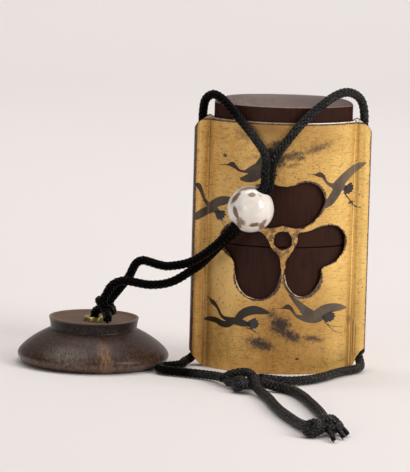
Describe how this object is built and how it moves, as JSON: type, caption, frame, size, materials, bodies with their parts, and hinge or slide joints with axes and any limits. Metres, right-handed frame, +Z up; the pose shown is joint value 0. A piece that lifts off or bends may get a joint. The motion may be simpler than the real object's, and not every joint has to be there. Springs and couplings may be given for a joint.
{
  "type": "inro case with sheath, cord, bead and toggle",
  "caption": "Tiered lacquer case in a pierced outer sheath, hung on a black cord that runs down its sides, through a round bead, to a turned wooden toggle.",
  "frame": {"origin": "middle of the sheath's underside", "axes": "+Z up the case, -Y out of its pierced face, +X to the viewer's right"},
  "size_m": [0.1143, 0.15, 0.0936],
  "materials": {
    "gold_lacquer": "gold-dusted lacquer on wood, worn at the edges, with dark flat cranes",
    "brown_lacquer": "dark reddish-brown lacquer, satin",
    "bead_glaze": "glossy off-white glaze with brown mottles",
    "turned_wood": "dark streaked hardwood, turned and polished",
    "brass": "aged, satin",
    "black_braid": "round braid of black silk"
  },
  "bodies": {
    "root": {"sheath": "gold_lacquer", "lid": "brown_lacquer", "tray_top": "brown_lacquer", "tray_middle": "brown_lacquer", "tray_bottom": "brown_lacquer", "ojime": "bead_glaze", "netsuke": "turned_wood", "netsuke_eyelet": "brass", "cord_left": "black_braid", "cord_right": "black_braid", "tail_left": "black_braid", "tail_right": "black_braid", "netsuke_knot": "black_braid", "front_knot": "black_braid", "end_knot": "black_braid"}
  },
  "joints": []
}
